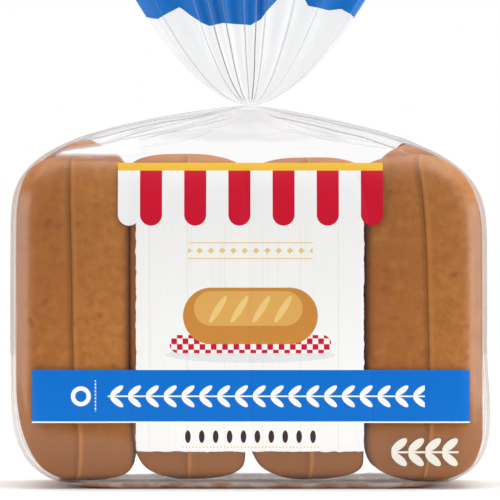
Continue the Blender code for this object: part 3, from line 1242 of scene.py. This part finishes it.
def film_material():
    material, bench = new_material("clear_film")
    place = bench.node("ShaderNodeTexCoord", output=3)
    _, _, height = bench.parts(place)
    ink, colour = print_of(bench)
    # The mask of the painted grey shade along the folds.
    line = painted_fold_lines(bench)
    grazing = bench.node("ShaderNodeLayerWeight", sockets={"Blend": 0.5}, output=1)
    mirror = MIRROR_AHEAD + grazing**5 * MIRROR_GRAZING
    crinkles = noise_at(bench, place, 60, 3, 0.55)
    bump = bench.node(
        "ShaderNodeBump", sockets={"Strength": 0.25, "Distance": 0.001, "Height": crinkles}
    )
    clear = bench.node("ShaderNodeBsdfTransparent", sockets={"Color": (0.985, 0.987, 0.990, 1)})
    gloss = bench.node("ShaderNodeBsdfGlossy", sockets={"Roughness": 0.16, "Normal": bump})
    shiny = bench.node("ShaderNodeMixShader", sockets={0: mirror, 1: clear, 2: gloss})

    hem = bench.ramp(height * 1000 + noise_at(bench, place, 45, 2, 0.5) * 2.4, 4.8, 3.6)
    # The hem is milkier from its folded layers, and its brown and pink are a painted reflection of the
    # buns.
    hem_reflection = mixed(bench, bench.ramp(noise_at(bench, place, 90), 0.40, 0.62), HEM_REFLECTED_BROWN, HEM_REFLECTED_PINK)
    # The painted glare of the light overhead on the left shoulder.
    painted_glare = attribute(bench, "painted_glare")
    haze_colour = mixed(bench, painted_glare, mixed(bench, hem, HAZE, hem_reflection), GLARE)
    # The milk's colour holds the painted fold shade, the hem's painted reflection and the painted glare.
    milk = bench.node(
        "ShaderNodeBsdfPrincipled",
        sockets={"Base Color": mixed(bench, line, haze_colour, PAINTED_FOLD_SHADE), "Roughness": 0.3,
                 "Normal": bump, "Specular IOR Level": 0.3},
    )
    loose = bench.ramp(height, 0.140, 0.165)
    milky = MILK_AHEAD + loose * MILK_LOOSE + grazing**6 * MILK_GRAZING + hem * HEM_COVERS
    milky = milky.most(line * LINE_COVERS).most(painted_glare * GLARE_COVERS)
    film_shader = bench.node("ShaderNodeMixShader", sockets={0: milky, 1: shiny, 2: milk})
    # Where the folds cross the ink, a paler painted highlight follows them.
    inked = bench.node(
        "ShaderNodeBsdfPrincipled",
        sockets={"Base Color": mixed(bench, line * 0.30, colour, (0.80, 0.83, 0.88, 1)),
                 "Roughness": 0.35, "Normal": bump, "Specular IOR Level": 0.25},
    )
    surface = bench.node("ShaderNodeMixShader", sockets={0: ink, 1: film_shader, 2: inked})
    bench.node("ShaderNodeOutputMaterial", sockets={0: surface})
    return material


film.data.materials.append(film_material())
print("the film's material has", len(film.data.materials[0].node_tree.nodes), "nodes")

# %% [markdown]
# ## Camera and light
#
# The photograph looks straight at the front from the height of the bag's middle, from far enough away
# that the sides stay upright. A long lens from 2.4 m does that. The picture is as wide as 231.6 mm of
# the bag's outline.

# %% The camera
CAMERA_DISTANCE = 2.4
OUTLINE_PLANE = -0.038
PICTURE_WIDTH = 0.2316
PICTURE_MIDDLE = Vector((-0.0002, 0.0, 0.1103))
SENSOR = 36.0

camera_data = bpy.data.cameras.new("camera")
camera_data.sensor_width = SENSOR
camera_data.lens = SENSOR * (CAMERA_DISTANCE + OUTLINE_PLANE) / PICTURE_WIDTH
camera_data.clip_end = 20.0
camera = put_in_scene("camera", camera_data)
camera.location = (PICTURE_MIDDLE.x, -CAMERA_DISTANCE, PICTURE_MIDDLE.z)
camera.rotation_euler = (math.pi / 2, 0.0, 0.0)
bpy.context.scene.camera = camera
print(f"the lens is {camera_data.lens:.0f} mm")

# %% [markdown]
# The studio is a tent of white cloth, so all its light comes from the world. It is brightest overhead and
# at the two sides, where the film's rounded corners mirror it as the pale upright bands of the
# photograph, and dim behind the camera, so that the flat front mirrors little. The right is a little
# brighter than the left.


# %% The world and the floor
TENT_LOW = 0.30
TENT_RISE = 0.53
TENT_OVERHEAD = 1.45
TENT_TO_THE_RIGHT = 0.22
SIDE_CLOTHS = 2.55
SIDE_TO_THE_RIGHT = 0.10
BEHIND_CAMERA_DIMS = 0.58


def studio_world():
    """White where the camera sees it, and a tent of softer light for what it mirrors and is lit by."""
    world = bpy.data.worlds.new("studio")
    world.use_nodes = True
    world.node_tree.nodes.clear()
    bench = Bench(world.node_tree)
    seen = bench.node("ShaderNodeLightPath")
    direction = bench.node("ShaderNodeTexCoord", output=0)
    across, depth, height = bench.parts(direction)
    behind_camera = bench.ramp(depth * -1, 0.72, 0.96)
    above_floor = bench.ramp(height, -0.10, 0.02)
    overhead = bench.ramp(height, 0.64, 0.92)
    sideways = bench.ramp(abs(across), 0.68, 0.99) * bench.ramp(abs(height), 0.45, 0.20)
    sideways = sideways * bench.ramp(depth, 0.50, 0.10) * (SIDE_CLOTHS + across * SIDE_TO_THE_RIGHT)
    tent = TENT_LOW + above_floor * TENT_RISE + overhead * TENT_OVERHEAD
    tent = tent * (1 + across * TENT_TO_THE_RIGHT)
    strength = tent * (1 - behind_camera * BEHIND_CAMERA_DIMS) + sideways
    white = bench.node("ShaderNodeBackground", sockets={"Color": (1, 1, 1, 1), "Strength": 1.0})
    cloth = bench.node("ShaderNodeBackground", sockets={"Color": (1, 1, 1, 1), "Strength": strength})
    both = bench.node("ShaderNodeMixShader", sockets={0: seen, 1: cloth, 2: white})
    bench.node("ShaderNodeOutputWorld", sockets={0: both})
    bpy.context.scene.world = world


def floor_plane():
    mesh = bpy.data.meshes.new("floor")
    shape = bmesh.new()
    bmesh.ops.create_grid(shape, x_segments=1, y_segments=1, size=1.6)
    bmesh.ops.translate(shape, verts=shape.verts[:], vec=(0.0, 1.4, 0.0))
    shape.to_mesh(mesh)
    shape.free()
    material, bench = new_material("pale_floor")
    shader = bench.node(
        "ShaderNodeBsdfPrincipled", sockets={"Base Color": (0.93, 0.93, 0.93, 1), "Roughness": 0.9}
    )
    bench.node("ShaderNodeOutputMaterial", sockets={0: shader})
    mesh.materials.append(material)
    return put_in_scene("floor", mesh)


studio_world()
floor = floor_plane()
scene = bpy.context.scene
scene.view_settings.view_transform = "Standard"
scene.view_settings.look = "None"
print("the studio is lit")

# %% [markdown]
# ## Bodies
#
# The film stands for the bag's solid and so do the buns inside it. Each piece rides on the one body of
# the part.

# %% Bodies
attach(film, "root")
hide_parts("bag")
for obj in buns:
    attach(obj, "root")
    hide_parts("bag")
